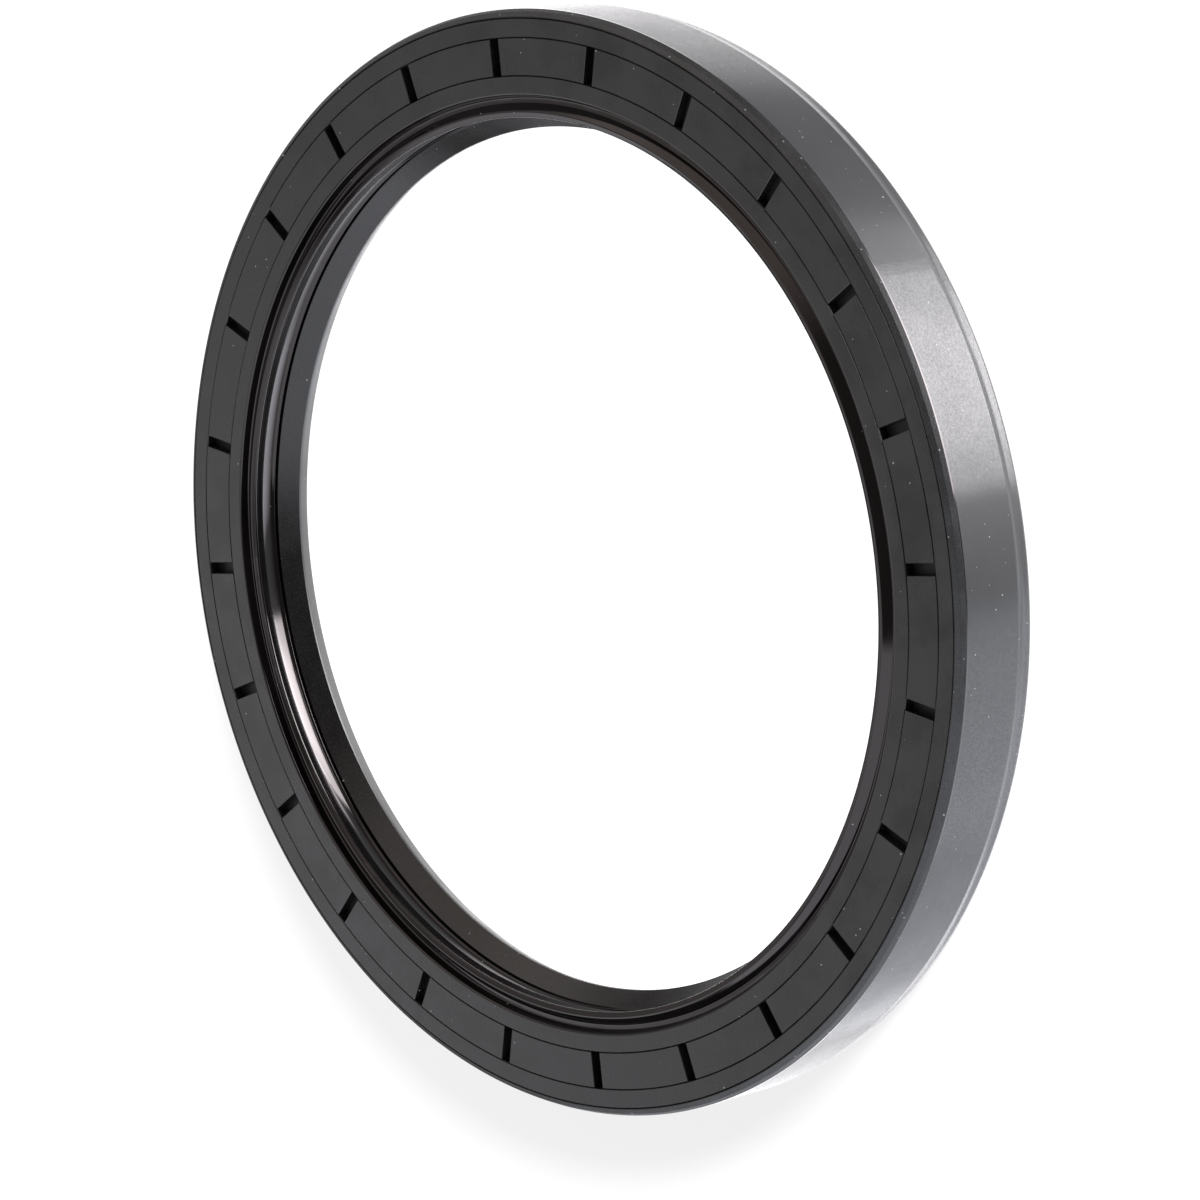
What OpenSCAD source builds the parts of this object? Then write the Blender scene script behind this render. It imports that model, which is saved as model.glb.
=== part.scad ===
/* [Fit] */
// Diameter of the shaft that the seal runs on
shaft_d = 130; // [128:0.5:131]
// Diameter of the housing bore that holds the seal
housing_d = 160; // [158:0.5:168]
// Width of the seal along the shaft
seal_w = 15; // [14:0.5:20]

/* [Rubber cover] */
// Rubber between the case and the housing bore
cover_t = 1.2; // [1:0.1:1.4]
// Rubber over the case on the air side, which is also the depth of the notches
face_t = 1.6; // [1.4:0.1:1.8]
// Rubber over the inside of the case
lining_t = 0.5; // [0.3:0.1:0.7]
// Rubber below the free edge of the case
edge_t = 1.5; // [1:0.1:2]
// Length of the lead-in at the oil side
lead_in_l = 3.6; // [3:0.1:4.5]
// Depth of the lead-in at the oil side
lead_in_depth = 0.6; // [0.55:0.05:0.7]
// Length of the lead-in's steep end, next to the seat
lead_step_l = 0.8; // [0.8:0.05:1]
// Depth of the lead-in's steep end
lead_step = 0.38; // [0.3:0.02:0.42]
// Corner radius at the oil side
back_round = 0.9; // [0.4:0.1:1]
// Radial leg of the chamfer at the air side
chamfer_r = 1.05; // [0.6:0.05:1.2]
// Axial leg of the chamfer at the air side
chamfer_l = 1.2; // [0.6:0.05:1.3]

/* [Air face] */
// Number of notches round the face
notch_n = 24; // [12:1:36]
// Width of a notch
notch_w = 1.7; // [1:0.1:2.5]
// Length of a notch along the radius
notch_l = 5.4; // [3:0.1:5.6]
// Distance from the housing bore to the outer end of a notch
notch_inset = 4.04; // [3.6:0.02:4.4]
// Width of the fine mould lines
line_w = 0.24; // [0.1:0.02:0.4]
// Depth of the fine mould lines
line_depth = 0.2; // [0.1:0.01:0.25]
// Distance from the shaft to the inner edge of the face
face_gap = 2.85; // [2.7:0.05:3]
// Depth of the gutter between the face and the dust lip
gutter_depth = 1.25; // [1:0.05:1.4]
// Width of the gutter's floor
gutter_w = 0.75; // [0.6:0.05:0.9]
// Radial run of the gutter's outer wall
gutter_wall = 0.4; // [0.2:0.05:0.5]

/* [Dust lip] */
// Distance that the dust lip's tip stands inside the shaft's surface
dust_bite = 0.45; // [0.3:0.05:0.5]
// Thickness of the dust lip at its tip
dust_tip_t = 0.95; // [0.8:0.05:1]
// Depth of the tip's inner corner below the face
dust_tip_drop = 0.35; // [0.2:0.05:0.45]
// Height of the groove at the dust lip's root
root_groove_w = 0.25; // [0.2:0.05:0.3]

/* [Sealing lip] */
// Distance that the free sealing edge stands inside the shaft's surface
seal_bite = 2.2; // [1.5:0.1:2.4]
// Depth of the sealing edge below the face
edge_depth = 7.45; // [7.2:0.05:7.6]
// Length of the narrow land at the sealing edge
edge_land = 0.4; // [0.3:0.05:0.5]
// Depth of the pocket between the two lips
pocket_depth = 4.55; // [4.4:0.05:4.8]
// Depth of the underside of the lip's head below the face
head_depth = 10.15; // [10:0.05:10.4]

/* [Garter spring] */
// Outer diameter of the coil
coil_d = 3; // [2.6:0.1:3]
// Diameter of the wire
wire_d = 0.55; // [0.4:0.05:0.7]

/* [Steel case] */
// Thickness of the steel
case_t = 1.2; // [1:0.1:1.4]
// Radius of the case's bend on its outside
case_bend = 1.8; // [1.6:0.1:2.2]

/* [Hidden] */

rubber_colour = [0.075, 0.075, 0.075];
steel_colour = [0.16, 0.16, 0.17];
spring_colour = [0.62, 0.63, 0.65];
round_fn = 180;
coil_fn = 60;
corner_steps = 5;
overlap = 0.3;

// Radii of the shaft and the bore, and heights of the face and what hangs below it
shaft_r = shaft_d / 2;
housing_r = housing_d / 2;
face_z = seal_w;
gutter_z = face_z - gutter_depth;
dust_z = face_z - dust_tip_drop;
pocket_z = face_z - pocket_depth;
edge_z = face_z - edge_depth;
head_z = face_z - head_depth;

// Case, measured from the bore
case_r = housing_r - cover_t;
case_z = face_z - face_t;
leg_r = case_r - case_t;
flange_z = case_z - case_t;
flange_r = shaft_r + 4;

// Inside of the rubber
lining_r = leg_r - lining_t;
ceiling_z = flange_z - lining_t;
rim_relief = 0.3;

// Roundings of the rubber's corners, from the finest to the widest
fine_round = 0.1;
tip_round = 0.25;
brow_round = 0.35;
toe_round = 0.4;
bend_round = 0.8;
blend_round = 3.5;
hollow_round = 4.6;

// Face, and the gutter between it and the dust lip
notch_in_r = housing_r - notch_inset - notch_l;
line_radii = [notch_in_r, housing_r - notch_inset, housing_r - chamfer_r - line_w];
face_r = shaft_r + face_gap;
gutter_r = face_r - gutter_wall;

// Dust lip, the hollow in its shaft side and the groove at its root
dust_r = shaft_r - dust_bite;
hollow_r = shaft_r + 0.6;
hollow_z = pocket_z + 2.15;
foot_r = shaft_r + 0.4;
foot_z = pocket_z + 0.4;
brink_r = shaft_r + 0.05;
groove_z = pocket_z - 0.15;
cone_z = groove_z - root_groove_w - 0.1;

// Sealing lip, and the seat of the spring, whose plane lies a little towards the air side
lip_r = shaft_r - seal_bite;
land_z = edge_z - edge_land;
toe_angle = 27.5;
toe_r = lip_r + (land_z - head_z) * tan(toe_angle);
spring_r = shaft_r + 1.7;
spring_z = edge_z + 0.55;
seat_top_z = spring_z + coil_d / 2;
heel_r = spring_r - 0.3;
hook_r = spring_r + 1.3;
hook_z = head_z + 0.7;
bead_r = spring_r + 0.5;
bead_z = seat_top_z + 0.2;
neck_r = spring_r + 0.15;
neck_z = seat_top_z + 0.75;
neck_flare = 0.45;

function unit(v) = v / norm(v);
function turn(a) = a > 180 ? a - 360 : a < -180 ? a + 360 : a;

// Arc that replaces corner p between its neighbours a and b, of the radius in p's third value
function corner(a, p, b) =
    let (at = [p.x, p.y],
         u = unit([a.x, a.y] - at),
         v = unit([b.x, b.y] - at),
         half = acos(u * v) / 2,
         c = at + unit(u + v) * p.z / sin(half),
         from = at + u * p.z / tan(half) - c,
         to = at + v * p.z / tan(half) - c,
         start = atan2(from.y, from.x),
         sweep = turn(atan2(to.y, to.x) - start))
    [for (i = [0:corner_steps])
        c + p.z * [cos(start + sweep * i / corner_steps), sin(start + sweep * i / corner_steps)]];

// Outline in which each point [r, z, radius] has its corner rounded where the radius is not zero
function rounded(path) =
    let (n = len(path))
    [for (i = [0:n - 1])
        each path[i].z == 0
            ? [[path[i].x, path[i].y]]
            : corner(path[(i + n - 1) % n], path[i], path[(i + 1) % n])];

// Outside of the seal: lead-in with its steep end, cylindrical seat, chamfer and face
function cover_path() = [
    [lining_r + rim_relief, 0, 0],
    [housing_r - lead_in_depth, 0, back_round],
    [housing_r - lead_step, lead_in_l - lead_step_l, blend_round],
    [housing_r, lead_in_l, 0],
    [housing_r, face_z - chamfer_l, 0],
    [housing_r - chamfer_r, face_z, fine_round],
    [face_r, face_z, brow_round]];

// Gutter, dust lip and its hollow, down to the groove where the sealing lip's cone starts
function dust_path() = [
    [gutter_r, gutter_z, tip_round],
    [gutter_r - gutter_w, gutter_z, tip_round],
    [dust_r + dust_tip_t, face_z, brow_round],
    [dust_r, dust_z, tip_round],
    [hollow_r, hollow_z, hollow_round],
    [foot_r, foot_z, toe_round],
    [brink_r, pocket_z, fine_round],
    [hollow_r, groove_z, fine_round],
    [hollow_r, groove_z - root_groove_w, fine_round],
    [shaft_r, cone_z, fine_round]];

// Sealing edge, toe, heel and the hook below the spring, then the bead above it and the neck
function lip_path() = [
    [lip_r, edge_z, 0],
    [lip_r, land_z, 0],
    [toe_r, head_z, toe_round],
    [heel_r, head_z, bend_round],
    [hook_r, hook_z, toe_round],
    [hook_r, spring_z, 0],
    [bead_r, spring_z, 0],
    [bead_r, bead_z, tip_round],
    [neck_r, neck_z, toe_round],
    [neck_r + neck_flare, ceiling_z, bend_round]];

// Inside of the case's lining, from the neck out to the rim
function lining_path() = [
    [lining_r, ceiling_z, bend_round],
    [lining_r, rim_relief, 0]];

module steel_section() {
    polygon(rounded([
        [case_r, edge_t, fine_round],
        [case_r, case_z, case_bend],
        [flange_r, case_z, 0],
        [flange_r, flange_z, 0],
        [leg_r, flange_z, case_bend - case_t],
        [leg_r, edge_t, fine_round]]));
}

module mould_lines() {
    for (r = line_radii)
        polygon([[r - line_w / 2, face_z], [r, face_z - line_depth], [r + line_w / 2, face_z]]);
}

module spring_seat() {
    translate([spring_r, spring_z])
        circle(d = coil_d, $fn = coil_fn);
}

module rubber_section() {
    difference() {
        polygon(rounded(concat(cover_path(), dust_path(), lip_path(), lining_path())));
        steel_section();
        mould_lines();
        spring_seat();
    }
}

// Notches left by the supports that held the case in the mould, open down to its steel
module notches() {
    for (i = [0:notch_n - 1])
        rotate(i * 360 / notch_n)
            translate([notch_in_r, -notch_w / 2, case_z - overlap])
                cube([notch_l, notch_w, face_t + 2 * overlap]);
}

module rubber_body() {
    color(rubber_colour)
        difference() {
            rotate_extrude($fn = round_fn)
                rubber_section();
            notches();
        }
}

module steel_case() {
    color(steel_colour)
        rotate_extrude($fn = round_fn)
            steel_section();
}

// The close coil as the ring that its turns fill, hollow inside
module garter_spring() {
    color(spring_colour)
        rotate_extrude($fn = round_fn)
            translate([spring_r, spring_z])
                difference() {
                    circle(d = coil_d, $fn = coil_fn);
                    circle(d = coil_d - 2 * wire_d, $fn = coil_fn);
                }
}

rubber_body();
steel_case();
garter_spring();
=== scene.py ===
import math

import bpy
import numpy as np
from bpy.props import FloatProperty, FloatVectorProperty, IntProperty, PointerProperty
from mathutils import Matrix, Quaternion, Vector


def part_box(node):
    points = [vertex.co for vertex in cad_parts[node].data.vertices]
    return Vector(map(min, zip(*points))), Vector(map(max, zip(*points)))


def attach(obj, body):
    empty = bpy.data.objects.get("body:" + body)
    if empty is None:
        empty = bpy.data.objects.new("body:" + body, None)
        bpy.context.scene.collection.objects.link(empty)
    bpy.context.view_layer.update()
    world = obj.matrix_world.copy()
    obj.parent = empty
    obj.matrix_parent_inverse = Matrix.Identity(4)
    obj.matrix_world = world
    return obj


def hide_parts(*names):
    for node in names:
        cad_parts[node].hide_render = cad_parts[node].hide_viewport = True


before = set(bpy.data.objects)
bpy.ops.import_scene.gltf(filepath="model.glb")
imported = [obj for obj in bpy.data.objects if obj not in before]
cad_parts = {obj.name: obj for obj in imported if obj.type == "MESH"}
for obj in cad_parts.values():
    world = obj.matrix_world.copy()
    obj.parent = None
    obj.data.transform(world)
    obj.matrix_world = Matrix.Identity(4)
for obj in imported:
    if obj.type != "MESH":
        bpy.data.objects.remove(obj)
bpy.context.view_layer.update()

bl_info = {
    "name": "Radial shaft seal",
    "version": (1, 0, 0),
    "blender": (4, 5, 0),
    "location": "3D View > Sidebar > Seal",
    "description": "Rubber shaft seal with its steel case and garter spring, on a plain studio floor",
    "category": "Object",
}

MM = 0.001
MICRON = 1e-6
TURN = 2 * math.pi

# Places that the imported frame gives
RUBBER_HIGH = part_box("rubber_body")[1]
CASE_LOW, CASE_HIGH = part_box("steel_case")
SPRING_LOW, SPRING_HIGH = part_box("garter_spring")
HOUSING_R = RUBBER_HIGH.x
FACE_Z = RUBBER_HIGH.z
CASE_R = CASE_HIGH.x
CASE_TOP = CASE_HIGH.z
CASE_FOOT = CASE_LOW.z
COIL_R = (SPRING_HIGH.z - SPRING_LOW.z) / 2
SPRING_R = SPRING_HIGH.x - COIL_R
SPRING_Z = (SPRING_HIGH.z + SPRING_LOW.z) / 2

# Roundings of the rubber's corners, from the finest to the widest
FINE_ROUND = 0.1 * MM
TIP_ROUND = 0.25 * MM
BROW_ROUND = 0.35 * MM
TOE_ROUND = 0.4 * MM
CROWN_ROUND = 0.6 * MM
BEND_ROUND = 0.8 * MM
HOLLOW_ROUND = 4.6 * MM

# How far the lining's edge stands above the oil-side rim
RIM_RELIEF = 0.3 * MM

# Finishes of the rubber, in the order of the mesh's material slots
SEAT, LEAD, CHAMFER, FACE, LIP, CONE, EDGE, INSIDE = range(8)


def length(name, description, default):
    """A property that holds a length in metres."""
    return FloatProperty(
        name=name, description=description, default=default, min=0, precision=5, unit="LENGTH")


def degrees(name, description, default):
    """A property that holds an angle, given in degrees and kept in radians."""
    return FloatProperty(name=name, description=description, default=math.radians(default), subtype="ANGLE")


def share(name, description, default):
    """A property that holds a share from 0 to 1."""
    return FloatProperty(
        name=name, description=description, default=default, min=0, max=1, subtype="FACTOR")


def level(name, description, default):
    """A property that holds a brightness."""
    return FloatProperty(name=name, description=description, default=default, min=0)


def tint(name, description, default):
    """A property that holds a linear colour."""
    return FloatVectorProperty(
        name=name, description=description, default=default, size=3, min=0, max=1, subtype="COLOR")


class SealSection(bpy.types.PropertyGroup):
    """Sizes of the rubber's section."""
    shaft_d: length("Shaft", "Diameter of the shaft that the seal runs on", 130 * MM)
    lead_in: length("Lead-in", "Length of the lead-in at the oil side", 3.6 * MM)
    lead_step: length("Lead-in step", "Radial drop of the lead-in's steep end", 0.44 * MM)
    lead_step_l: length("Lead-in step length", "Length of the lead-in's steep end", 1.4 * MM)
    lead_drop: length("Lead-in drop", "Radial drop of the whole lead-in", 0.6 * MM)
    lead_round: length("Lead-in blend", "Radius that blends the lead-in's two slopes", 7 * MM)
    back_round: length("Back corner", "Corner radius at the oil side", 0.9 * MM)
    chamfer_r: length("Chamfer, radial", "Radial leg of the chamfer at the air side", 1.05 * MM)
    chamfer_l: length("Chamfer, axial", "Axial leg of the chamfer at the air side", 1.2 * MM)
    chamfer_round: length("Chamfer edge", "Radius of the edge between the chamfer and the seat", 0.12 * MM)
    brow: length("Brow", "Radial drop of the polished brow that the cut leaves at the chamfer", 0.02 * MM)
    brow_l: length("Brow length", "Length of the polished brow below the chamfer", 0.26 * MM)
    face_gap: length("Face edge", "Distance from the shaft to the inner edge of the face", 2.85 * MM)
    gutter_depth: length("Gutter depth", "Depth of the gutter between the face and the dust lip", 1.25 * MM)
    gutter_wall: length("Gutter wall", "Radial run of the gutter's outer wall", 0.4 * MM)
    gutter_w: length("Gutter floor", "Width of the gutter's floor", 0.75 * MM)
    line_w: length("Mould line", "Width of the fine mould lines", 0.24 * MM)
    line_depth: length("Mould line depth", "Depth of the fine mould lines", 0.2 * MM)
    dust_bite: length("Dust lip bite", "How far the dust lip stands inside the shaft's surface", 0.45 * MM)
    dust_tip: length("Dust lip tip", "Thickness of the dust lip at its tip", 0.95 * MM)
    dust_drop: length("Dust lip slope", "Depth of the dust lip's inner corner below the face", 0.35 * MM)
    seal_bite: length("Sealing edge bite", "How far the edge stands inside the shaft's surface", 2.2 * MM)
    edge_depth: length("Sealing edge depth", "Depth of the sealing edge below the face", 7.45 * MM)
    edge_land: length("Sealing edge land", "Length of the narrow land at the sealing edge", 0.4 * MM)
    pocket_depth: length("Pocket depth", "Depth of the pocket between the two lips", 4.55 * MM)
    head_depth: length("Head depth", "Depth of the underside of the lip's head", 10.15 * MM)
    toe_angle: degrees("Toe angle", "Slope of the toe below the sealing edge, from the axis", 27.5)
    case_t: length("Steel", "Thickness of the case's steel", 1.2 * MM)
    case_bend: length("Case bend", "Radius of the case's bend on its outside", 1.8 * MM)
    flange_gap: length("Flange gap", "Distance from the shaft to the case's flange", 4 * MM)
    lining: length("Lining", "Rubber over the inside of the case", 0.5 * MM)
    corner_steps: IntProperty(
        name="Corner steps", description="Steps in each rounded corner", default=5, min=2)


class SealNotches(bpy.types.PropertyGroup):
    """Notches round the air face."""
    count: IntProperty(name="Notches", description="Number of notches round the face", default=24, min=6)
    width: length("Notch width", "Width of a notch", 1.7 * MM)
    long: length("Notch length", "Length of a notch along the radius", 5.4 * MM)
    inset: length("Notch inset", "Distance from the housing bore to the notch's outer end", 4.04 * MM)
    edge: length("Notch edge", "Width and depth of the worn edge along a notch", 0.07 * MM)
    columns: IntProperty(
        name="Columns", description="Columns of faces from a notch to half way to the next",
        default=8, min=4)


class SealSpring(bpy.types.PropertyGroup):
    """Close-wound garter spring."""
    wire_d: length("Wire", "Diameter of the spring's wire", 0.55 * MM)
    turn_steps: IntProperty(
        name="Steps in a turn", description="Rings of points in each turn", default=12, min=8)
    wire_sides: IntProperty(name="Wire sides", description="Sides of the wire's section", default=8, min=5)


class SealFinish(bpy.types.PropertyGroup):
    """Colours and gloss."""
    rubber: tint("Rubber", "Colour of the rubber's ground outside", (0.0072, 0.0075, 0.0082))
    bloom: tint("Chamfer rubber", "Colour of the cut chamfer", (0.017, 0.0186, 0.020))
    face_rubber: tint("Face rubber", "Colour of the moulded face", (0.0070, 0.0071, 0.0069))
    lip_rubber: tint("Lip rubber", "Colour of the lips", (0.0020, 0.0019, 0.0019))
    cone_rubber: tint(
        "Cone rubber", "Colour of the cut cone and the edge below it", (0.0050, 0.0048, 0.0047))
    dust: tint("Dust", "Colour of the dust specks", (0.36, 0.355, 0.35))
    steel: tint("Case steel", "Colour of the case's bonding coat", (0.008, 0.008, 0.009))
    bare_steel: tint("Bare steel", "Colour of the steel that the coat's scuffs show", (0.12, 0.12, 0.125))
    wire: tint("Spring wire", "Colour of the spring's wire", (0.52, 0.53, 0.55))
    wire_stain: tint("Wire stain", "Colour of the wire where it is discoloured", (0.36, 0.33, 0.29))
    face_gloss: share("Face roughness", "Roughness of the moulded face", 0.28)
    seat_gloss: share("Seat roughness", "Roughness of the ground outside", 0.12)
    seat_coat: share("Seat coat", "Strength of the ground outside's sharp reflection", 0.36)
    haze: share("Haze", "Strength of the reflection that the ground outside scatters widely", 0.28)
    haze_gloss: share("Haze roughness", "Roughness of what the ground outside scatters widely", 0.52)
    chamfer_gloss: share("Chamfer roughness", "Roughness of the cut chamfer", 0.4)
    lip_gloss: share("Lip roughness", "Roughness of the polished lips", 0.07)
    lip_film: tint("Lip film", "Tint of what the polished lips mirror", (1.0, 0.91, 0.90))
    edge_gloss: share("Edge roughness", "Roughness of the trimmed sealing edge and the toe", 0.42)
    cone_gloss: share("Cone roughness", "Roughness of the cut cone above the sealing edge", 0.24)
    inside_gloss: share("Inside roughness", "Roughness of the rubber that faces the oil", 0.13)
    steel_gloss: share("Steel roughness", "Roughness of the case's bonding coat", 0.41)
    wire_gloss: share("Wire roughness", "Roughness of the spring's wire", 0.29)


class SealStage(bpy.types.PropertyGroup):
    """Floor, light and camera."""
    floor_size: length("Floor", "Side of the floor", 6.0)
    floor_drop: length("Floor drop", "Gap between the seal and the floor", 0.02 * MM)
    floor_glow: level("Floor glow", "Light that the floor gives off", 0.78)
    inner_glow: level("Inner glow", "Light that the floor gives off besides inside the seal", 0.3)
    glow_full: length("Inner glow, full", "Radius up to which the inner glow is full", 70 * MM)
    glow_end: length("Inner glow, end", "Radius at which the inner glow ends", 79 * MM)
    lamp: level("Lamp", "Strength of the lamp that casts the seal's soft shadow on the floor", 17.0)
    lamp_azimuth: degrees("Lamp azimuth", "Direction of the lamp round the seal, from +X", 42)
    lamp_elevation: degrees("Lamp elevation", "Height of the lamp above the horizon", 28)
    lamp_spread: degrees("Lamp spread", "Angle that the lamp fills, which softens the shadow", 22)
    floor_colour: tint("Floor colour", "Colour of the floor", (0.12, 0.116, 0.118))
    backdrop: level("Backdrop", "Brightness behind the object where no floor is seen", 1.0)
    lens: FloatProperty(
        name="Lens", description="Focal length of the camera", default=159.34, min=1, unit="CAMERA")
    distance: length("Distance", "Distance from the camera to what it aims at", 765.42 * MM)
    aim: FloatVectorProperty(
        name="Aim", description="Point that the camera aims at", size=3, subtype="TRANSLATION",
        default=(2.5 * MM, -5.55 * MM, 7.5 * MM))
    azimuth: degrees("Azimuth", "Direction of the camera round the seal, from +X", 7.933)
    elevation: degrees("Elevation", "Height of the camera above the horizon", 42.852)
    roll: degrees("Roll", "Turn of the camera about its own axis", -101.08)


def unit(vectors):
    """Vectors scaled to length 1 along their last axis, and left alone where they are zero."""
    return vectors / np.maximum(np.linalg.norm(vectors, axis=-1, keepdims=True), 1e-12)


def rounded(corners, steps):
    """Closed outline from corners (r, z, radius, finish), with an arc of the radius in each corner.

    With u and v the directions from a corner to its neighbours and h half the angle between them, the arc's
    centre lies radius / sin(h) from the corner along u + v, and the arc starts radius / tan(h) along u.
    Returns the points, and the finish of the stretch that starts at each.
    """
    rows = np.array(corners, float)
    at, radius, finish = rows[:, :2], rows[:, 2], rows[:, 3].astype(int)
    u = unit(np.roll(at, 1, axis=0) - at)
    v = unit(np.roll(at, -1, axis=0) - at)
    half = np.arccos(np.clip((u * v).sum(1), -1, 1)) / 2
    centre = at + unit(u + v) * (radius / np.sin(half))[:, None]
    reach = (radius / np.tan(half))[:, None]
    first = at + u * reach - centre
    last = at + v * reach - centre
    start = np.arctan2(first[:, 1], first[:, 0])
    sweep = (np.arctan2(last[:, 1], last[:, 0]) - start + math.pi) % TURN - math.pi
    angle = start[:, None] + sweep[:, None] * np.linspace(0, 1, steps + 1)
    arcs = centre[:, None] + radius[:, None, None] * np.stack([np.cos(angle), np.sin(angle)], 2)
    keep = (radius[:, None] > 0) | (np.arange(steps + 1) == 0)
    return arcs[keep], np.repeat(finish[:, None], steps + 1, 1)[keep]


def cover_corners(section, notches):
    """Corners (r, z, radius, finish) from the oil-side rim up the outside and in over the face.

    The chamfer bends a little at its crown, and each mould line on the face is a groove of three points.
    """
    edge_r = HOUSING_R - section.chamfer_r
    crown_r = HOUSING_R - 0.36 * section.chamfer_r
    crown_z = FACE_Z - 0.38 * section.chamfer_l
    cover = [
        (CASE_R - section.case_t - section.lining + RIM_RELIEF, 0, 0, INSIDE),
        (HOUSING_R - section.lead_drop, 0, section.back_round, LEAD),
        (HOUSING_R - section.lead_step, section.lead_in - section.lead_step_l, section.lead_round, LEAD),
        (HOUSING_R, section.lead_in, 0, SEAT),
        (HOUSING_R, FACE_Z - section.chamfer_l - section.brow_l, 0, LIP),
        (HOUSING_R - section.brow, FACE_Z - section.chamfer_l, section.chamfer_round, CHAMFER),
        (crown_r, crown_z, CROWN_ROUND, CHAMFER),
        (edge_r, FACE_Z, FINE_ROUND, FACE),
    ]
    rings = [edge_r - section.line_w, *notch_ends(notches)]
    lines = [
        (ring + side * section.line_w / 2, FACE_Z - (side == 0) * section.line_depth, 0, FACE)
        for ring in rings for side in (1, 0, -1)]
    return cover + lines


def dust_corners(section):
    """Corners from the face's inner edge over the gutter and the dust lip to the groove at its root."""
    shaft_r = section.shaft_d / 2
    face_r = shaft_r + section.face_gap
    gutter_r = face_r - section.gutter_wall
    gutter_z = FACE_Z - section.gutter_depth
    dust_r = shaft_r - section.dust_bite
    dust_z = FACE_Z - section.dust_drop
    pocket_z = FACE_Z - section.pocket_depth
    hollow_r = shaft_r + 0.6 * MM
    hollow_z = pocket_z + 2.15 * MM
    foot_r = shaft_r + 0.4 * MM
    foot_z = pocket_z + 0.4 * MM
    brink_r = shaft_r + 0.05 * MM
    groove_top_z = pocket_z - 0.15 * MM
    groove_low_z = pocket_z - 0.4 * MM
    cone_z = pocket_z - 0.5 * MM
    return [
        (face_r, FACE_Z, BROW_ROUND, LIP),
        (gutter_r, gutter_z, TIP_ROUND, LIP),
        (gutter_r - section.gutter_w, gutter_z, TIP_ROUND, LIP),
        (dust_r + section.dust_tip, FACE_Z, BROW_ROUND, LIP),
        (dust_r, dust_z, TIP_ROUND, LIP),
        (hollow_r, hollow_z, HOLLOW_ROUND, LIP),
        (foot_r, foot_z, TOE_ROUND, LIP),
        (brink_r, pocket_z, FINE_ROUND, LIP),
        (hollow_r, groove_top_z, FINE_ROUND, LIP),
        (hollow_r, groove_low_z, FINE_ROUND, LIP),
        (shaft_r, cone_z, FINE_ROUND, CONE),
    ]


def lip_corners(section):
    """Corners from the sealing edge round the lip's head and the spring's seat, and out over the lining."""
    lip_r = section.shaft_d / 2 - section.seal_bite
    land_z = FACE_Z - section.edge_depth - section.edge_land
    head_z = FACE_Z - section.head_depth
    toe_r = lip_r + (land_z - head_z) * math.tan(section.toe_angle)
    heel_r = SPRING_R - 0.3 * MM
    hook_r = SPRING_R + 1.3 * MM
    hook_z = head_z + 0.7 * MM
    seat_top_z = SPRING_Z + COIL_R
    bead_r = SPRING_R + 0.5 * MM
    bead_z = seat_top_z + 0.2 * MM
    neck_r = SPRING_R + 0.15 * MM
    neck_z = seat_top_z + 0.75 * MM
    neck_flare = 0.45 * MM
    lining_r = CASE_R - section.case_t - section.lining
    ceiling_z = CASE_TOP - section.case_t - section.lining
    return [
        (lip_r, FACE_Z - section.edge_depth, 0, EDGE),
        (lip_r, land_z, 0, EDGE),
        (toe_r, head_z, TOE_ROUND, INSIDE),
        (heel_r, head_z, BEND_ROUND, INSIDE),
        (hook_r, hook_z, TOE_ROUND, INSIDE),
        *seat_corners(hook_r, bead_r),
        (bead_r, bead_z, TIP_ROUND, INSIDE),
        (neck_r, neck_z, TOE_ROUND, INSIDE),
        (neck_r + neck_flare, ceiling_z, BEND_ROUND, INSIDE),
        (lining_r, ceiling_z, BEND_ROUND, INSIDE),
        (lining_r, RIM_RELIEF, 0, INSIDE),
    ]


def seat_corners(hook_r, bead_r, steps=18):
    """Points of the spring's seat, on the coil's circle from the hook's side round to the bead's."""
    start = TURN - math.acos((hook_r - SPRING_R) / COIL_R)
    end = math.acos((bead_r - SPRING_R) / COIL_R)
    return [
        (SPRING_R + COIL_R * math.cos(a), SPRING_Z + COIL_R * math.sin(a), 0, INSIDE)
        for a in np.linspace(start, end, steps)]


def case_corners(section, notches):
    """Corners of the pocket that holds the case, with a point wherever a notch's walls meet its top."""
    leg_r = CASE_R - section.case_t
    flange_r = section.shaft_d / 2 + section.flange_gap
    flange_z = CASE_TOP - section.case_t
    outer, inner = notch_ends(notches)
    half = section.line_w / 2
    return [
        (CASE_R, CASE_FOOT, FINE_ROUND, INSIDE),
        (CASE_R, CASE_TOP, section.case_bend, INSIDE),
        *[(r, CASE_TOP, 0, INSIDE) for r in (outer, outer - half, inner + half, inner)],
        (flange_r, CASE_TOP, 0, INSIDE),
        (flange_r, flange_z, 0, INSIDE),
        (leg_r, flange_z, section.case_bend - section.case_t, INSIDE),
        (leg_r, CASE_FOOT, FINE_ROUND, INSIDE),
    ]


def notch_ends(notches):
    """Radii of a notch's outer and inner end, which are those of two mould lines."""
    outer = HOUSING_R - notches.inset
    return outer, outer - notches.long


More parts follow.
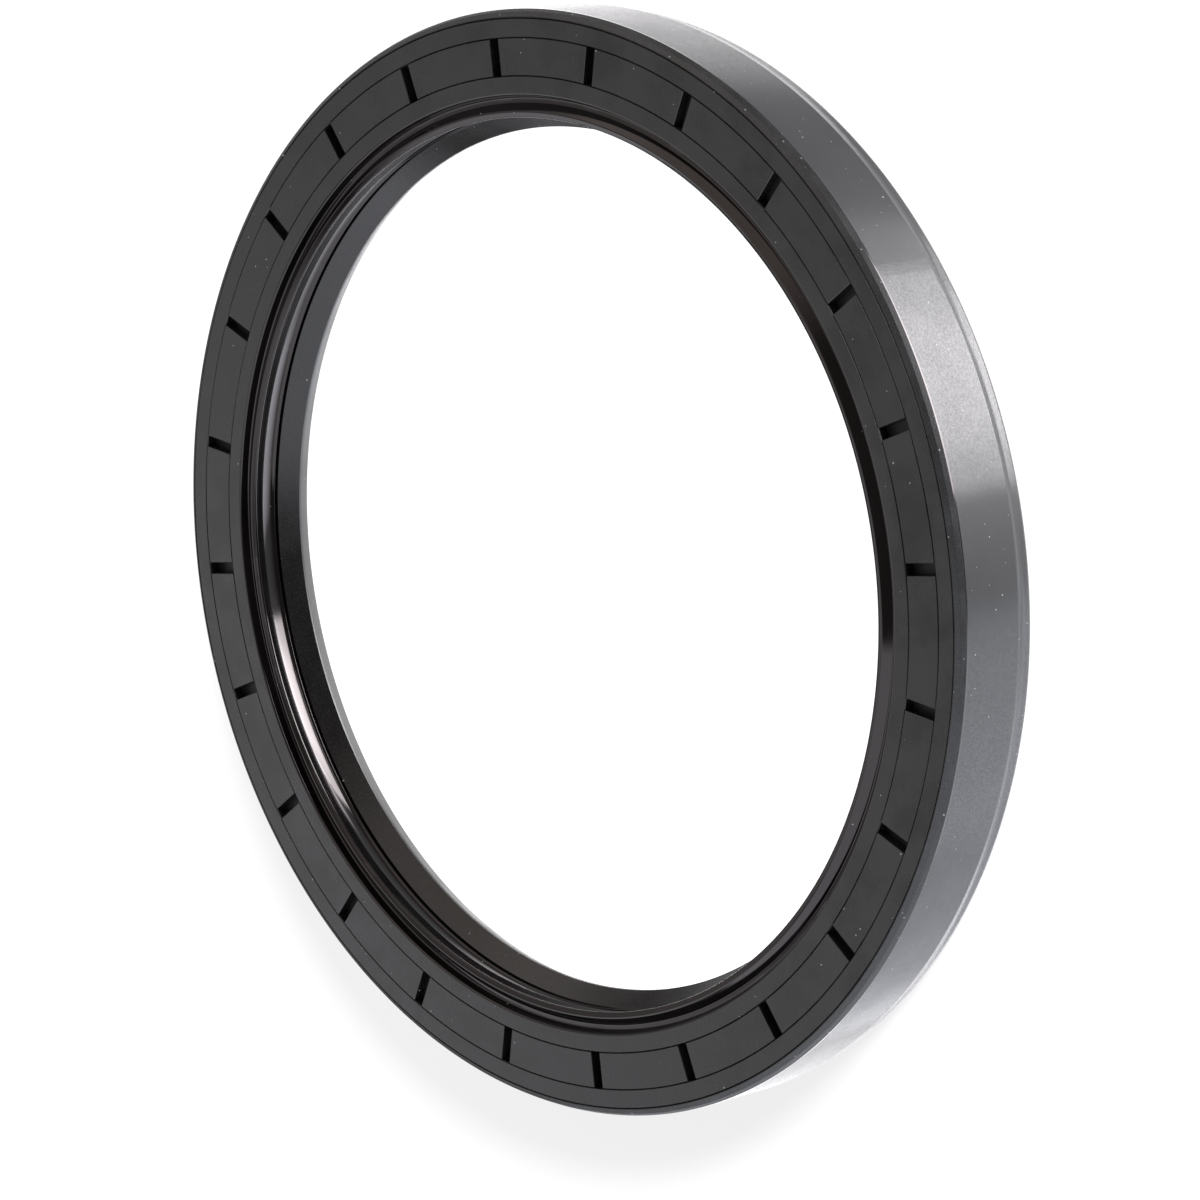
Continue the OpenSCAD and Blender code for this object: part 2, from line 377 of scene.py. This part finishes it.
def column_angles(notches, radius):
    """Angle of every column of points in rows at the given radii.

    A notch's sides run parallel, so a column at the distance d from the notch's middle line has the angle
    asin(d / r) there. The others share the way to the middle between two notches equally. A sector is that
    fan mirrored, and it is repeated for each notch.
    """
    outer, inner = notch_ends(notches)
    reach = np.clip(radius, inner, outer)[:, None]
    side = np.arcsin(np.array([notches.width / 2, notches.width / 2 + notches.edge]) / reach)
    middle = math.pi / notches.count
    steps = np.arange(1, notches.columns + 1) / notches.columns
    fan = side[:, 1:] + (middle - side[:, 1:]) * steps
    right = np.hstack([side, fan])
    sector = np.hstack([-right[:, -2::-1], np.zeros((len(radius), 1)), right])
    turns = TURN * np.arange(notches.count) / notches.count
    return (turns[None, :, None] + sector[:, None]).reshape(len(radius), -1)


def revolve(outline, notches):
    """Points (r cos a, r sin a, z) of an outline carried round the axis, as rows by columns."""
    angle = column_angles(notches, outline[:, 0])
    r = outline[:, :1]
    z = outline[:, 1:] + 0 * angle
    return np.stack([r * np.cos(angle), r * np.sin(angle), z], 2)


def grid_quads(rows, columns, first=0):
    """Corners of the faces of a grid that is closed both ways, as an array of rows by columns by 4."""
    index = first + np.arange(rows * columns).reshape(rows, columns)
    right = np.roll(index, -1, axis=1)
    above = np.roll(index, -1, axis=0)
    return np.stack([index, right, np.roll(right, -1, axis=0), above], 2)


def row_at(outline, r, z):
    """Row of an outline that lies nearest to (r, z)."""
    return int(np.argmin(np.hypot(outline[:, 0] - r, outline[:, 1] - z)))


def write_mesh(name, points, quads, materials, finish=None):
    """Makes a smooth object at the origin from arrays of points and faces, without its unused points."""
    used, index = np.unique(quads, return_inverse=True)
    mesh = bpy.data.meshes.new(name)
    mesh.from_pydata(points[used], [], index.reshape(-1, 4))
    for material in materials:
        mesh.materials.append(material)
    if finish is not None:
        mesh.polygons.foreach_set("material_index", finish.astype(np.int32))
    mesh.polygons.foreach_set("use_smooth", np.ones(len(mesh.polygons), bool))
    mesh.update()
    piece = bpy.data.objects.new(name, mesh)
    bpy.context.scene.collection.objects.link(piece)
    return piece


def rubber_mesh(section, notches):
    """Points, faces and finishes of the rubber: outside, pocket for the case, and walls of the notches.

    Outside and pocket are outlines carried round the axis. Each notch leaves out a patch of both, from the
    bottom of one mould line to that of the next, and its walls join the two patches' edges straight down.
    """
    corners = cover_corners(section, notches) + dust_corners(section) + lip_corners(section)
    outside, outside_finish = rounded(corners, section.corner_steps)
    pocket, _ = rounded(case_corners(section, notches), section.corner_steps)
    grid = revolve(outside, notches)
    columns = grid.shape[1]
    sector = columns // notches.count

    # Rows and middle columns of the notches, whose worn edges sink a little below the face
    outer, _ = notch_ends(notches)
    top = row_at(outside, outer, FACE_Z - section.line_depth) + np.arange(4)
    low = row_at(pocket, outer, CASE_TOP) + np.arange(4)
    middle = sector * np.arange(notches.count) + sector // 2 - 1
    sides = np.concatenate([middle - 1, middle + 1])
    grid[top[1]:top[3], sides, 2] -= notches.edge

    outer_quads = grid_quads(*grid.shape[:2])
    pocket_grid = revolve(pocket, notches)
    first = grid.shape[0] * columns
    pocket_quads = grid_quads(*pocket_grid.shape[:2], first)[:, :, ::-1]

    # Walls, by columns across and rows along the way round a notch
    across = np.array([0, 1, 2, 2, 2, 2, 1, 0, 0, 0]) - 1
    along = np.array([0, 0, 0, 1, 2, 3, 3, 3, 2, 1])
    rim = top[along] * columns + middle[:, None] + across
    foot = first + low[along] * columns + middle[:, None] + across
    walls = np.stack([rim, np.roll(rim, -1, 1), np.roll(foot, -1, 1), foot], 2).reshape(-1, 4)

    # Faces of both outlines, without those that the notches take away
    hole = np.concatenate([middle - 1, middle])
    outer_keep = np.ones(outer_quads.shape[:2], bool)
    outer_keep[top[0]:top[3], hole] = False
    pocket_keep = np.ones(pocket_quads.shape[:2], bool)
    pocket_keep[low[0]:low[3], hole] = False
    finish = np.repeat(outside_finish[:, None], columns, 1)[outer_keep]
    quads = np.concatenate([outer_quads[outer_keep], walls, pocket_quads[pocket_keep]])
    finish = np.concatenate([finish, np.full(len(walls), FACE), np.full(pocket_keep.sum(), INSIDE)])
    points = np.concatenate([grid.reshape(-1, 3), pocket_grid.reshape(-1, 3)])
    return points, quads, finish


def spring_mesh(spring):
    """Points and faces of the spring: a wire wound close round a ring.

    With t from 0 to 1, the wire's middle lies at the angle 2 pi t round the ring and at the angle
    2 pi t times the number of turns round the coil. The wire's circle stands on the coil's own radial
    direction and on the one square to that and to the wire.
    """
    wire_r = spring.wire_d / 2
    mean_r = COIL_R - wire_r
    turns = int(TURN * (SPRING_R - mean_r) / spring.wire_d)
    count = turns * spring.turn_steps
    ring = TURN * np.arange(count) / count
    coil = ring * turns
    out = np.stack([np.cos(ring), np.sin(ring), 0 * ring], 1)
    round_ring = np.stack([-np.sin(ring), np.cos(ring), 0 * ring], 1)
    up = np.array([0, 0, 1.0])
    cos, sin = np.cos(coil)[:, None], np.sin(coil)[:, None]
    radial = out * cos + up * sin
    middle = out * SPRING_R + up * SPRING_Z + radial * mean_r
    along = unit(round_ring * (SPRING_R + mean_r * cos) + (up * cos - out * sin) * mean_r * turns)
    across = np.cross(along, radial)
    w = TURN * np.arange(spring.wire_sides) / spring.wire_sides
    circle = radial[:, None] * np.cos(w)[:, None] + across[:, None] * np.sin(w)[:, None]
    points = middle[:, None] + circle * wire_r
    quads = grid_quads(count, spring.wire_sides)
    return points.reshape(-1, 3), quads.reshape(-1, 4)


def crease(piece, angle=30):
    """Sharpens edges steeper than an angle in degrees, and lets large faces shade the rounded ones."""
    piece.data.set_sharp_from_angle(angle=math.radians(angle))
    shading = piece.modifiers.new("shading", "WEIGHTED_NORMAL")
    shading.keep_sharp = True


# Range that holds nearly all of a noise pattern
NOISE_RANGE = (0.3, 0.7)

# Sizes of the rubber's patterns
CLOUD_SIZE = 6 * MM
MOTTLE_SIZE = 0.36 * MM
GRIT_SIZE = 0.16 * MM
GRIT_HEIGHT = 12 * MICRON
SPECK_CELL = 0.9 * MM
FLUFF_CELL = 7 * MM

# Factors on the coordinates that draw a pattern out into lines round the axis, and into strands along it
ROUND_AXIS = (0.02, 0.02, 1)
ALONG_AXIS = (1, 1, 0.45)


def add_node(tree, kind, inputs=(), **settings):
    """Adds a node, and gives each named input a value or a link from another node's output."""
    node = tree.nodes.new(kind)
    for key, value in settings.items():
        setattr(node, key, value)
    for key, value in dict(inputs).items():
        if isinstance(value, bpy.types.NodeSocket):
            tree.links.new(value, node.inputs[key])
        else:
            node.inputs[key].default_value = value
    return node


def calculate(tree, operation, a, b=0.0):
    """Output of a Math node."""
    return add_node(tree, "ShaderNodeMath", {0: a, 1: b}, operation=operation).outputs[0]


def ramp(tree, value, low, high, to_low=0.0, to_high=1.0):
    """Output of a smooth Map Range from low..high to to_low..to_high."""
    node = add_node(
        tree, "ShaderNodeMapRange", {0: value, 1: low, 2: high, 3: to_low, 4: to_high},
        interpolation_type="SMOOTHSTEP")
    return node.outputs[0]


def wander(tree, pattern, middle, spread):
    """Output that a noise pattern moves by up to the spread above and below its middle."""
    return ramp(tree, pattern, *NOISE_RANGE, middle - spread, middle + spread)


def place(tree, stretch=(1, 1, 1)):
    """Object coordinates times a factor along each axis, so that a small one stretches a pattern."""
    origin = add_node(tree, "ShaderNodeTexCoord").outputs["Object"]
    return add_node(tree, "ShaderNodeMapping", {"Vector": origin, "Scale": stretch}).outputs[0]


def noise(tree, vector, size, detail=2.0, contrast=0.5):
    """Noise with features of the given size in metres."""
    inputs = {"Vector": vector, "Scale": 1 / size, "Detail": detail, "Roughness": contrast}
    return add_node(tree, "ShaderNodeTexNoise", inputs).outputs[0]


def specks(tree, vector, cell, size, part):
    """Mask of round specks up to a size, in a share of the cells of a Voronoi pattern.

    The cell's random colour decides: its red part whether there is a speck, and its green part how large.
    """
    cells = add_node(tree, "ShaderNodeTexVoronoi", {"Vector": vector, "Scale": 1 / cell})
    chance = add_node(tree, "ShaderNodeSeparateColor", {0: cells.outputs["Color"]})
    radius = calculate(tree, "MULTIPLY", chance.outputs[1], size / cell)
    gap = calculate(tree, "SUBTRACT", radius, cells.outputs["Distance"])
    spot = ramp(tree, gap, 0, 0.25 * size / cell)
    return calculate(tree, "MULTIPLY", spot, ramp(tree, chance.outputs[0], 1 - part, 1.02 - part))


def mixed(tree, factor, a, b):
    """Output of a colour mix from a to b, whose sockets come after those for numbers and vectors."""
    return add_node(tree, "ShaderNodeMix", {0: factor, 6: a, 7: b}, data_type="RGBA").outputs[2]


def toned(tree, factor, colour, dark, light):
    """Output of a mix between a colour times one part and the same colour times another."""
    tones = [(*(part * c for c in colour), 1) for part in (dark, light)]
    return mixed(tree, factor, *tones)


def bumped(tree, layers):
    """Normal of stacked bumps, each given as its height pattern and its height in metres."""
    normal = None
    for pattern, height in layers:
        inputs = {"Height": pattern, "Distance": height, "Strength": 1.0}
        if normal is not None:
            inputs["Normal"] = normal
        normal = add_node(tree, "ShaderNodeBump", inputs).outputs[0]
    return normal


def new_material(name):
    """Empty node material, and the tree to fill."""
    material = bpy.data.materials.new(name)
    material.use_nodes = True
    material.node_tree.nodes.clear()
    return material, material.node_tree


def finish_material(material, colour, roughness, normal, **sockets):
    """Puts a Principled shader on a material, with constants set on the shader's own sockets."""
    tree = material.node_tree
    inputs = {"Base Color": colour, "Roughness": roughness, "Normal": normal, "IOR": 1.52, **sockets}
    shader = add_node(tree, "ShaderNodeBsdfPrincipled", inputs)
    add_node(tree, "ShaderNodeOutputMaterial", {"Surface": shader.outputs[0]})
    return material


def dust_mask(tree, at, part, size):
    """Mask of dust: fine round specks, and longer, rarer ones that stand far apart."""
    spots = specks(tree, at, SPECK_CELL, size, part)
    fluff = specks(tree, place(tree, ALONG_AXIS), FLUFF_CELL, 2.2 * size, part / 2)
    return calculate(tree, "MAXIMUM", spots, fluff)


def rubber_skin(name, look, base, gloss, grain, dust, patchy=0.03, streak=None, sand=0.0, ground=False,
                film=(1, 1, 1)):
    """Rubber of a given colour and roughness.

    grain and streak are the size and the height of the mould's grain and of the grinding marks that run
    round the axis. dust is the share of dusty cells and the size of the largest speck. patchy is how far
    the roughness wanders, sand is the strength of a fine pale grit, and film is the tint that a reflection
    takes. A ground surface has a sharp, mottled reflection over one that it scatters widely.
    """
    material, tree = new_material(name)
    at = place(tree)
    cloud = noise(tree, at, CLOUD_SIZE, 4)
    rough = wander(tree, cloud, look.haze_gloss if ground else gloss, patchy)
    colour = toned(tree, wander(tree, cloud, 0.5, 0.5), base, 0.7, 1.35)
    layers = [(noise(tree, at, grain[0], 3, 0.6), grain[1])]
    if streak:
        lines = noise(tree, place(tree, ROUND_AXIS), streak[0], 3, 0.7)
        layers.append((lines, streak[1]))
        rough = calculate(tree, "ADD", rough, ramp(tree, lines, 0.35, 0.75, -0.02, 0.05))
    if sand:
        grit = noise(tree, at, GRIT_SIZE, 2, 0.8)
        mask = ramp(tree, grit, 0.52, 0.72, 0, sand)
        colour = mixed(tree, mask, colour, (*look.dust, 1))
        layers.append((grit, GRIT_HEIGHT))
    dirt = dust_mask(tree, at, *dust)
    colour = mixed(tree, dirt, colour, (*look.dust, 1))
    rough = calculate(tree, "ADD", rough, calculate(tree, "MULTIPLY", dirt, 0.4))
    normal = bumped(tree, layers)
    if ground:
        coat = wander(tree, noise(tree, at, MOTTLE_SIZE, 2, 0.6), look.seat_coat, 0.09)
        sockets = {
            "Coat Weight": coat, "Coat Roughness": gloss, "Coat Normal": normal,
            "Specular IOR Level": look.haze}
    else:
        sockets = {"Specular Tint": (*film, 1)}
    return finish_material(material, colour, rough, normal, **sockets)


def rubber_skins(look):
    """Materials of the rubber, in the order of its finishes."""
    return [
        rubber_skin(
            "rubber_seat", look, look.rubber, look.seat_gloss, grain=(0.5 * MM, 2 * MICRON),
            streak=(0.09 * MM, 1.2 * MICRON), dust=(0.42, 0.12 * MM), ground=True),
        rubber_skin(
            "rubber_lead_in", look, look.rubber, look.seat_gloss, grain=(0.5 * MM, 3 * MICRON),
            streak=(0.12 * MM, 1 * MICRON), dust=(0.25, 0.13 * MM), ground=True),
        rubber_skin(
            "rubber_chamfer", look, look.bloom, look.chamfer_gloss, grain=(0.3 * MM, 8 * MICRON),
            streak=(0.3 * MM, 30 * MICRON), dust=(0.4, 0.16 * MM), patchy=0.05, sand=0.15),
        rubber_skin(
            "rubber_face", look, look.face_rubber, look.face_gloss, grain=(0.3 * MM, 14 * MICRON),
            dust=(0.1, 0.15 * MM), patchy=0.08),
        rubber_skin(
            "rubber_lip", look, look.lip_rubber, look.lip_gloss, grain=(0.8 * MM, 0.6 * MICRON),
            streak=(0.1 * MM, 0.15 * MICRON), dust=(0.06, 0.14 * MM), patchy=0.02, film=look.lip_film),
        rubber_skin(
            "rubber_cone", look, look.cone_rubber, look.cone_gloss, grain=(0.25 * MM, 5 * MICRON),
            dust=(0.12, 0.16 * MM), sand=0.08),
        rubber_skin(
            "rubber_edge", look, look.cone_rubber, look.edge_gloss, grain=(0.3 * MM, 4 * MICRON),
            dust=(0.1, 0.14 * MM), patchy=0.05),
        rubber_skin(
            "rubber_inside", look, look.lip_rubber, look.inside_gloss, grain=(0.5 * MM, 2 * MICRON),
            dust=(0.04, 0.16 * MM)),
    ]


def case_steel(look):
    """Dark bonding coat on the case's steel, with the pale scuffs that the mould's supports left."""
    material, tree = new_material("coated_steel")
    at = place(tree)
    cloud = noise(tree, at, 3 * MM, 4)
    scuff = ramp(tree, noise(tree, place(tree, (1, 1, 0.3)), 0.5 * MM, 4, 0.7), 0.6, 0.8)
    coat = toned(tree, cloud, look.steel, 0.7, 1.5)
    colour = mixed(tree, calculate(tree, "MULTIPLY", scuff, 0.25), coat, (*look.bare_steel, 1))
    rough = wander(tree, cloud, look.steel_gloss, 0.05)
    normal = bumped(tree, [(noise(tree, at, 0.3 * MM, 3), 3 * MICRON)])
    return finish_material(material, colour, rough, normal, **{"Specular IOR Level": 0.2})


def spring_steel(look):
    """Drawn bright wire with faint die lines and a little discolouring."""
    material, tree = new_material("spring_wire")
    at = place(tree)
    cloud = noise(tree, at, 4 * MM, 3)
    colour = mixed(tree, ramp(tree, cloud, 0.4, 0.75), (*look.wire, 1), (*look.wire_stain, 1))
    rough = wander(tree, noise(tree, at, 0.4 * MM, 3), look.wire_gloss, 0.07)
    normal = bumped(tree, [(noise(tree, place(tree, (1, 1, 6)), 0.3 * MM, 2), 1 * MICRON)])
    return finish_material(material, colour, rough, normal, Metallic=1.0)


# Soft boxes: (azimuth, half width, softness) and (low, high, softness) in degrees, brightness, colour
SOFT_BOXES = {
    "window": ((31.5, 24.5, 4), (-68, -26, 4), 10.2, (1.01, 0.99, 1.02)),
    "window_core": ((31, 15, 14), (-64, -31, 8), 7.2, (1.02, 0.99, 1.01)),
    "window_corner": ((60, 9, 8), (-72, -48, 14), 5.2, (1.02, 1.0, 1.02)),
    "right_wall": ((-72, 54, 6), (-68, -35, 20), 1.85, (0.95, 0.99, 1.08)),
    "right_near": ((-46, 23, 14), (-70, -32, 18), 1.5, (0.95, 0.99, 1.08)),
    "right_low": ((-98, 44, 12), (-22, -5, 8), 1.7, (0.97, 0.99, 1.06)),
    "left_low": ((144, 26, 14), (-22, -3, 8), 0.8, (1.0, 0.99, 1.02)),
    "chamfer_light": ((34, 14, 8), (-4, 18, 8), 4.6, (1.0, 0.99, 1.02)),
    "right_upper": ((-68, 42, 5), (10, 76, 24), 1.5, (0.97, 0.99, 1.08)),
    "right_mid": ((-68, 42, 5), (-28, 14, 20), 0.8, (0.97, 0.99, 1.08)),
    "back_low": ((180, 66, 24), (-62, -36, 10), 2.4, (1.02, 0.99, 1.0)),
    "back": ((-142, 34, 16), (16, 43, 12), 1.5, (0.97, 0.99, 1.05)),
    "back_top": ((-142, 34, 16), (56, 76, 14), 1.1, (0.97, 0.99, 1.05)),
    "back_left": ((150, 40, 24), (6, 72, 18), 0.38, (1.04, 1.0, 0.97)),
    "left_upper": ((94, 36, 26), (10, 76, 16), 0.7, (1.10, 0.98, 0.92)),
    "overhead": ((0, 180, 0), (80, 100, 6), 1.3, (0.98, 1.0, 1.02)),
    "low_haze": ((0, 180, 0), (-70, -32, 20), 0.45, (0.94, 1.0, 1.08)),
    "table": ((0, 180, 0), (-90, -76, 8), 1.9, (1.0, 1.0, 1.0)),
    "table_back": ((180, 105, 30), (-76, -66, 8), 1.9, (1.0, 1.0, 1.0)),
}

# Light that comes from everywhere besides
AMBIENT = (0.145, 0.135, 0.13)


def span(tree, angle, middle, half, soft):
    """Factor that is 1 where an angle lies within half of the middle, and falls to 0 over the soft edge.

    The angle comes from a node and is in radians. The others are in degrees.
    """
    away = calculate(tree, "ABSOLUTE", calculate(tree, "SUBTRACT", angle, math.radians(middle)))
    return ramp(tree, away, math.radians(half - soft / 2), math.radians(half + soft / 2), 1, 0)


def box_light(tree, toward, elevation, box):
    """Light that a soft box sends from a direction, whose elevation comes in radians.

    The direction (x, y, z) is turned back by the box's azimuth, so that atan2(y, x) is 0 at the middle.
    """
    (azimuth, half, side_soft), (low, high, soft), strength, colour = box
    turned = add_node(
        tree, "ShaderNodeVectorRotate", {"Vector": toward, "Angle": -math.radians(azimuth)},
        rotation_type="Z_AXIS").outputs[0]
    parts = add_node(tree, "ShaderNodeSeparateXYZ", {0: turned})
    bearing = calculate(tree, "ARCTAN2", parts.outputs["Y"], parts.outputs["X"])
    wide = span(tree, bearing, 0, half, side_soft) if half < 180 else 1.0
    tall = span(tree, elevation, (low + high) / 2, (high - low) / 2, soft)
    shown = calculate(tree, "MULTIPLY", wide, tall)
    tone = [strength * c for c in colour]
    return add_node(tree, "ShaderNodeVectorMath", {0: tone, "Scale": shown}, operation="SCALE").outputs[0]


def light_world(stage):
    """Soft boxes by direction, and a plain backdrop where the camera looks past the floor."""
    world = bpy.data.worlds.new("studio")
    world.use_nodes = True
    tree = world.node_tree
    tree.nodes.clear()
    toward = add_node(tree, "ShaderNodeTexCoord").outputs["Generated"]
    height = add_node(tree, "ShaderNodeSeparateXYZ", {0: toward}).outputs["Z"]
    elevation = calculate(tree, "ARCSINE", height)
    light = AMBIENT
    for box in SOFT_BOXES.values():
        glow = box_light(tree, toward, elevation, box)
        light = add_node(tree, "ShaderNodeVectorMath", {0: light, 1: glow}, operation="ADD").outputs[0]
    seen = add_node(tree, "ShaderNodeLightPath").outputs["Is Camera Ray"]
    shade = mixed(tree, seen, light, (stage.backdrop, stage.backdrop, stage.backdrop, 1))
    sky = add_node(tree, "ShaderNodeBackground", {"Color": shade})
    add_node(tree, "ShaderNodeOutputWorld", {"Surface": sky.outputs[0]})
    bpy.context.scene.world = world


def floor_material(stage):
    """Pale paper that glows a little, and more inside the seal, seen from above only."""
    material, tree = new_material("floor_paper")
    reach = add_node(tree, "ShaderNodeVectorMath", {0: place(tree)}, operation="LENGTH").outputs["Value"]
    inside = stage.floor_glow + stage.inner_glow
    strength = ramp(tree, reach, stage.glow_full, stage.glow_end, inside, stage.floor_glow)
    glow = add_node(tree, "ShaderNodeEmission", {"Color": (1, 1, 1, 1), "Strength": strength})
    paper = add_node(tree, "ShaderNodeBsdfDiffuse", {"Color": (*stage.floor_colour, 1)})
    front = add_node(tree, "ShaderNodeAddShader", {0: glow.outputs[0], 1: paper.outputs[0]})
    behind = add_node(tree, "ShaderNodeNewGeometry").outputs["Backfacing"]
    clear = add_node(tree, "ShaderNodeBsdfTransparent")
    both = add_node(tree, "ShaderNodeMixShader", {0: behind, 1: front.outputs[0], 2: clear.outputs[0]})
    add_node(tree, "ShaderNodeOutputMaterial", {"Surface": both.outputs[0]})
    return material


def direction(azimuth, elevation):
    """Unit vector (cos e cos a, cos e sin a, sin e) toward the azimuth a and the elevation e."""
    level_way = math.cos(elevation)
    return Vector((level_way * math.cos(azimuth), level_way * math.sin(azimuth), math.sin(elevation)))


def add_floor(stage):
    """Flat square floor that only the camera sees, so that it mirrors in nothing and shades nothing."""
    half = stage.floor_size / 2
    corners = half * np.array([[-1, -1], [1, -1], [1, 1], [-1, 1]])
    points = np.hstack([corners, np.full((4, 1), -stage.floor_drop)])
    floor = write_mesh("floor", points, np.array([[0, 1, 2, 3]]), [floor_material(stage)])
    floor.visible_diffuse = False
    floor.visible_glossy = False
    floor.visible_transmission = False
    floor.visible_shadow = False
    return floor


def add_lamp(stage, floor):
    """Distant soft lamp that lights the floor alone, so that the seal's shadow grounds it."""
    data = bpy.data.lights.new("lamp", "SUN")
    data.energy = stage.lamp
    data.angle = stage.lamp_spread
    lamp = bpy.data.objects.new("lamp", data)
    lamp.rotation_mode = "QUATERNION"
    lamp.rotation_quaternion = direction(stage.lamp_azimuth, stage.lamp_elevation).to_track_quat("Z", "Y")
    bpy.context.scene.collection.objects.link(lamp)
    lit = bpy.data.collections.new("lit_by_lamp")
    lit.objects.link(floor)
    lamp.light_linking.receiver_collection = lit


def add_camera(stage):
    """Camera at a distance from its aim, by azimuth and elevation, turned about its own axis by a roll."""
    back = direction(stage.azimuth, stage.elevation)
    data = bpy.data.cameras.new("camera")
    data.lens = stage.lens
    data.clip_start = 0.01
    data.clip_end = 50
    data.dof.use_dof = False
    camera = bpy.data.objects.new("camera", data)
    camera.rotation_mode = "QUATERNION"
    camera.location = Vector(stage.aim) + back * stage.distance
    camera.rotation_quaternion = (-back).to_track_quat("-Z", "Y") @ Quaternion((0, 0, 1), stage.roll)
    bpy.context.scene.collection.objects.link(camera)
    bpy.context.scene.camera = camera


class SEAL_OT_rubber_body(bpy.types.Operator):
    """Make the rubber body with its lips and notches"""
    bl_idname = "seal.rubber_body"
    bl_label = "Rubber body"

    def execute(self, context):
        scene = context.scene
        points, quads, finish = rubber_mesh(scene.seal_section, scene.seal_notches)
        piece = write_mesh("rubber_body_skin", points, quads, rubber_skins(scene.seal_finish), finish)
        crease(piece)
        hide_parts("rubber_body")
        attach(piece, "root")
        return {"FINISHED"}


class SEAL_OT_steel_case(bpy.types.Operator):
    """Finish the steel case that shows in the notches"""
    bl_idname = "seal.steel_case"
    bl_label = "Steel case"

    def execute(self, context):
        steel = case_steel(context.scene.seal_finish)
        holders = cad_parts["steel_case"].material_slots
        if not holders:
            raise RuntimeError("the steel case has no material slot to fill")
        for holder in holders:
            holder.link = "OBJECT"
            holder.material = steel
        return {"FINISHED"}


class SEAL_OT_garter_spring(bpy.types.Operator):
    """Wind the garter spring"""
    bl_idname = "seal.garter_spring"
    bl_label = "Garter spring"

    def execute(self, context):
        points, quads = spring_mesh(context.scene.seal_spring)
        piece = write_mesh("garter_spring_coil", points, quads, [spring_steel(context.scene.seal_finish)])
        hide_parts("garter_spring")
        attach(piece, "root")
        return {"FINISHED"}


class SEAL_OT_stage(bpy.types.Operator):
    """Lay the floor, set the light and place the camera"""
    bl_idname = "seal.stage"
    bl_label = "Stage"

    def execute(self, context):
        stage = context.scene.seal_stage
        context.scene.view_settings.view_transform = "Standard"
        light_world(stage)
        floor = add_floor(stage)
        add_lamp(stage, floor)
        add_camera(stage)
        return {"FINISHED"}


class SEAL_PT_panel(bpy.types.Panel):
    """Lists the seal's pieces and sizes"""
    bl_label = "Radial shaft seal"
    bl_idname = "SEAL_PT_panel"
    bl_space_type = "VIEW_3D"
    bl_region_type = "UI"
    bl_category = "Seal"

    def draw(self, context):
        for operator, groups in STEPS:
            box = self.layout.box()
            box.operator(operator)
            for group in groups:
                sizes = getattr(context.scene, group)
                for name in sizes.bl_rna.properties.keys():
                    if name not in ("rna_type", "name"):
                        box.prop(sizes, name)


STEPS = [
    ("seal.rubber_body", ["seal_section", "seal_notches", "seal_finish"]),
    ("seal.steel_case", []),
    ("seal.garter_spring", ["seal_spring"]),
    ("seal.stage", ["seal_stage"]),
]
GROUPS = {
    "seal_section": SealSection,
    "seal_notches": SealNotches,
    "seal_spring": SealSpring,
    "seal_finish": SealFinish,
    "seal_stage": SealStage,
}
CLASSES = [
    *GROUPS.values(), SEAL_OT_rubber_body, SEAL_OT_steel_case, SEAL_OT_garter_spring, SEAL_OT_stage,
    SEAL_PT_panel]


def register():
    """Adds the classes, and the groups of sizes to the scene."""
    for item in CLASSES:
        bpy.utils.register_class(item)
    for name, group in GROUPS.items():
        setattr(bpy.types.Scene, name, PointerProperty(type=group))


def unregister():
    """Takes the groups and the classes away again."""
    for name in GROUPS:
        delattr(bpy.types.Scene, name)
    for item in reversed(CLASSES):
        bpy.utils.unregister_class(item)


def main():
    """Makes the pieces and the stage."""
    register()
    bpy.ops.seal.rubber_body()
    bpy.ops.seal.steel_case()
    bpy.ops.seal.garter_spring()
    bpy.ops.seal.stage()


if __name__ == "__main__":
    main()
